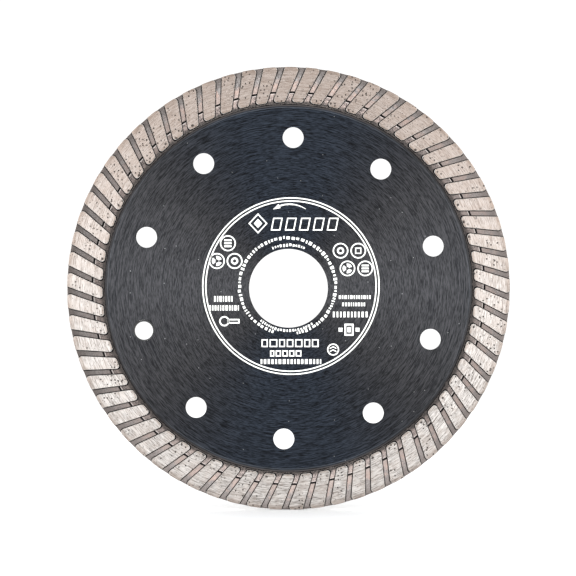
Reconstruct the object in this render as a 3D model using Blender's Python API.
"""Continuous-rim turbo diamond cutting disc, 125 mm across with a 22.23 mm bore.

Three pieces: the steel core, the bond ring sintered round its edge, and the diamond rim round both.
Each piece is drawn lying flat, with its marked face to +Z, and stands up under the empty disc_frame:
the disc's axis is then world Y, its marked face looks to -Y, and the bore's centre is the origin.
Run with: blender --background --python part.py
"""

import math

import bmesh
import bpy
from mathutils import Matrix, Vector

MM = 0.001

# The whole disc
DISC_RADIUS = 62.5 * MM
BORE_RADIUS = 11.115 * MM
RIM_THICKNESS = 2.2 * MM
CORE_THICKNESS = 1.2 * MM
ROUND_STEPS = 130

# The core: its flat faces end at a small shoulder, and a thinner tongue goes on under the rim
FACE_RADIUS = 51.85 * MM
TONGUE_RADIUS = 54.3 * MM
TONGUE_THICKNESS = 0.9 * MM
BORE_CHAMFER = 0.15 * MM

# Cooling holes, turned to where the first one lies anticlockwise from +X
HOLE_COUNT = 10
HOLE_CIRCLE_RADIUS = 42.57 * MM
HOLE_RADIUS = 2.95 * MM
FIRST_HOLE_ANGLE = math.radians(16.23)
HOLE_SIDES = 32

# Keys that lock the bond ring to the tongue's edge
KEY_COUNT = 26
NOTCH_RADIUS = 0.6 * MM
KEY_RADIUS = 0.5 * MM
KEY_SIDES = 12

# The bond ring wraps the tongue. Flat faces keep a seam, round walls a wider one
FLAT_SEAM = 0.03 * MM
ROUND_SEAM = 0.3 * MM
BOND_INNER_RADIUS = 52.0 * MM
BOND_WALL_RADIUS = 54.4 * MM
BOND_OUTER_RADIUS = 55.1 * MM
BOND_THICKNESS = 1.32 * MM

# The rim and its grooves, which stagger from face to face by half a pitch
RIM_INNER_RADIUS = 52.4 * MM
GROOVE_COUNT = 65
GROOVE_DEPTH = 0.6 * MM
GROOVE_OFFSET = 21.5 * MM  # each groove's centre line passes the axis at this distance
FIRST_GROOVE_ANGLE = math.radians(72.99)  # the nearest point of that line to the axis
GROOVE_WIDTH_IN = 1.34 * MM
GROOVE_WIDTH_OUT = 1.5 * MM
FLARE_START_RADIUS = 61.2 * MM  # from here out the anticlockwise wall curves away
FLARE_CURVE = 2.2 * MM
FLARE_TURN = math.radians(39)
FLARE_STEPS = 3
TAB_CORNER_RADIUS = 0.9 * MM
TAB_CORNER_STEPS = 4

# How far cutters run past what they cut
CLEARANCE = 0.6 * MM


def clear_scene():
    for obj in list(bpy.data.objects):
        bpy.data.objects.remove(obj)


def make_material(name, colour, metallic, roughness):
    material = bpy.data.materials.new(name)
    material.use_nodes = True
    shader = material.node_tree.nodes["Principled BSDF"]
    shader.inputs["Base Color"].default_value = (*colour, 1.0)
    shader.inputs["Metallic"].default_value = metallic
    shader.inputs["Roughness"].default_value = roughness
    return material


def add_object(name, bm, material=None, parent=None):
    """Makes an object of bm with its faces turned outwards, and frees bm."""
    bmesh.ops.recalc_face_normals(bm, faces=bm.faces)
    mesh = bpy.data.meshes.new(name)
    bm.to_mesh(mesh)
    bm.free()
    obj = bpy.data.objects.new(name, mesh)
    bpy.context.scene.collection.objects.link(obj)
    obj.parent = parent
    if material:
        mesh.materials.append(material)
    return obj


def turned_ring(bm, profile, steps=ROUND_STEPS):
    """Spins a closed (radius, height) profile round Z."""
    points = [bm.verts.new((radius, 0.0, height)) for radius, height in profile]
    edges = [bm.edges.new((a, b)) for a, b in zip(points, points[1:] + points[:1])]
    bmesh.ops.spin(
        bm,
        geom=points + edges,
        cent=(0.0, 0.0, 0.0),
        axis=(0.0, 0.0, 1.0),
        angle=math.tau,
        steps=steps,
        use_merge=True,
    )


def mirrored(half_profile):
    """A profile's upper half, and the same below it."""
    return half_profile + [(radius, -height) for radius, height in reversed(half_profile)]


def prism(bm, outline, bottom, top):
    """A closed prism on a flat outline, from one height to another."""
    base = bm.faces.new([bm.verts.new((x, y, bottom)) for x, y in outline])
    made = bmesh.ops.extrude_face_region(bm, geom=[base])
    risen = [item for item in made["geom"] if isinstance(item, bmesh.types.BMVert)]
    bmesh.ops.translate(bm, verts=risen, vec=(0.0, 0.0, top - bottom))


def circle(centre_radius, angle, radius, sides):
    """The outline of a round, centred at that angle on a circle round the axis."""
    centre = Vector((math.cos(angle), math.sin(angle))) * centre_radius
    turns = [math.tau * i / sides for i in range(sides)]
    return [centre + radius * Vector((math.cos(t), math.sin(t))) for t in turns]


def around(count, first=0.0):
    """Evenly spaced angles round the axis."""
    return [first + math.tau * i / count for i in range(count)]


def cut_or_join(obj, tool, operation):
    """Adds a Boolean modifier that uses tool, which the build then leaves out."""
    tool.hide_render = True
    tool.display_type = "WIRE"
    modifier = obj.modifiers.new(f"{operation.lower()} {tool.name}", "BOOLEAN")
    modifier.operation = operation
    modifier.solver = "EXACT"
    modifier.object = tool


def shade_round(obj):
    obj.data.shade_smooth()
    obj.data.set_sharp_from_angle(angle=math.radians(30))


def make_core(frame, material):
    """The blank: flat faces, a chamfered bore, a thinner tongue round the edge, holes and key notches."""
    face = CORE_THICKNESS / 2
    tongue = TONGUE_THICKNESS / 2
    bm = bmesh.new()
    turned_ring(
        bm,
        mirrored(
            [
                (BORE_RADIUS, face - BORE_CHAMFER),
                (BORE_RADIUS + BORE_CHAMFER, face),
                (FACE_RADIUS, face),
                (FACE_RADIUS, tongue),
                (TONGUE_RADIUS, tongue),
            ]
        ),
    )
    core = add_object("steel_core", bm, material, frame)

    holes = bmesh.new()
    reach = face + CLEARANCE
    for angle in around(HOLE_COUNT, FIRST_HOLE_ANGLE):
        prism(holes, circle(HOLE_CIRCLE_RADIUS, angle, HOLE_RADIUS, HOLE_SIDES), -reach, reach)
    for angle in around(KEY_COUNT):
        prism(holes, circle(TONGUE_RADIUS, angle, NOTCH_RADIUS, KEY_SIDES), -reach, reach)
    cut_or_join(core, add_object("core_cutters", holes, parent=frame), "DIFFERENCE")
    shade_round(core)
    return core


def make_bond_ring(frame, material):
    """A thin channel section round the tongue, with a key in each of its notches."""
    outside = BOND_THICKNESS / 2
    inside = TONGUE_THICKNESS / 2 + FLAT_SEAM
    bm = bmesh.new()
    turned_ring(
        bm,
        mirrored(
            [
                (BOND_WALL_RADIUS, inside),
                (BOND_INNER_RADIUS, inside),
                (BOND_INNER_RADIUS, outside),
                (BOND_OUTER_RADIUS, outside),
            ]
        ),
    )
    ring = add_object("bond_ring", bm, material, frame)

    keys = bmesh.new()
    middle_of_leg = (inside + outside) / 2
    for angle in around(KEY_COUNT):
        outline = circle(TONGUE_RADIUS, angle, KEY_RADIUS, KEY_SIDES)
        prism(keys, outline, -middle_of_leg, middle_of_leg)
    cut_or_join(ring, add_object("bond_keys", keys, parent=frame), "UNION")
    shade_round(ring)
    return ring


def groove_point(along, across):
    """A point of the groove whose line passes the axis on +X: along it outwards, and across it."""
    return Vector((GROOVE_OFFSET + across, -along))


def at_radius(across, radius):
    """Where the line that lies that far across the groove reaches a radius."""
    offset = GROOVE_OFFSET + across
    return groove_point(math.sqrt(radius**2 - offset**2), across)


def tab_corner(side):
    """The rounded corner of the rib on one side of a groove (+1 or -1), from the ring's inside to the wall."""
    half_width = GROOVE_WIDTH_IN / 2
    inner = RIM_INNER_RADIUS - 0.15 * MM  # the arc meets the ring's edge at an angle
    centre = at_radius(side * (half_width + TAB_CORNER_RADIUS), inner + TAB_CORNER_RADIUS)
    to_axis = -centre.normalized()
    to_wall = Vector((-side, 0.0))
    turn = to_axis.angle_signed(to_wall)
    arc = []
    for i in range(TAB_CORNER_STEPS + 1):
        angle = -turn * i / TAB_CORNER_STEPS
        arc.append(centre + TAB_CORNER_RADIUS * (Matrix.Rotation(angle, 2) @ to_axis))
    return arc


def flare(start):
    """The wall that curves away from the groove at the rim's edge, then runs straight past it."""
    turns = [FLARE_TURN * i / FLARE_STEPS for i in range(FLARE_STEPS + 1)]
    curve = [
        start + FLARE_CURVE * Vector((1 - math.cos(turn), -math.sin(turn)))
        for turn in turns
    ]
    last_way = Vector((math.sin(FLARE_TURN), -math.cos(FLARE_TURN)))
    return [*curve, curve[-1] + CLEARANCE * last_way]


def groove_outline():
    """One groove from above: rounded mouth corners, straight walls, and one wall flared at the rim's edge."""
    half_out = GROOVE_WIDTH_OUT / 2
    clockwise = tab_corner(-1)
    anticlockwise = tab_corner(1)
    inside = (RIM_INNER_RADIUS - CLEARANCE) / RIM_INNER_RADIUS
    return [
        clockwise[0] * inside,
        *clockwise,
        at_radius(-half_out, DISC_RADIUS + CLEARANCE),
        *reversed(flare(at_radius(half_out, FLARE_START_RADIUS))),
        *reversed(anticlockwise),
        anticlockwise[0] * inside,
    ]


def make_rim(frame, material):
    """A channel section round the bond ring, with slanted grooves cut in both faces."""
    face = RIM_THICKNESS / 2
    inside = BOND_THICKNESS / 2 + FLAT_SEAM
    bm = bmesh.new()
    turned_ring(
        bm,
        mirrored(
            [
                (BOND_OUTER_RADIUS + ROUND_SEAM, inside),
                (RIM_INNER_RADIUS, inside),
                (RIM_INNER_RADIUS, face),
                (DISC_RADIUS, face),
            ]
        ),
    )
    rim = add_object("diamond_rim", bm, material, frame)

    grooves = bmesh.new()
    outline = groove_outline()
    floor = face - GROOVE_DEPTH
    half_pitch = math.pi / GROOVE_COUNT
    for side, first in ((1, FIRST_GROOVE_ANGLE), (-1, FIRST_GROOVE_ANGLE + half_pitch)):
        for angle in around(GROOVE_COUNT, first):
            turned = [Matrix.Rotation(angle, 2) @ point for point in outline]
            prism(grooves, turned, side * floor, side * (face + CLEARANCE))
    cut_or_join(rim, add_object("groove_cutters", grooves, parent=frame), "DIFFERENCE")
    shade_round(rim)
    return rim


def main():
    clear_scene()
    frame = bpy.data.objects.new("disc_frame", None)
    frame.rotation_euler = (math.pi / 2, 0.0, 0.0)
    bpy.context.scene.collection.objects.link(frame)

    make_core(frame, make_material("dark_lacquer", (0.045, 0.048, 0.057), 0.6, 0.42))
    make_bond_ring(frame, make_material("bond_metal", (0.28, 0.21, 0.17), 0.7, 0.6))
    make_rim(frame, make_material("sintered_diamond", (0.52, 0.46, 0.42), 0.7, 0.5))


main()
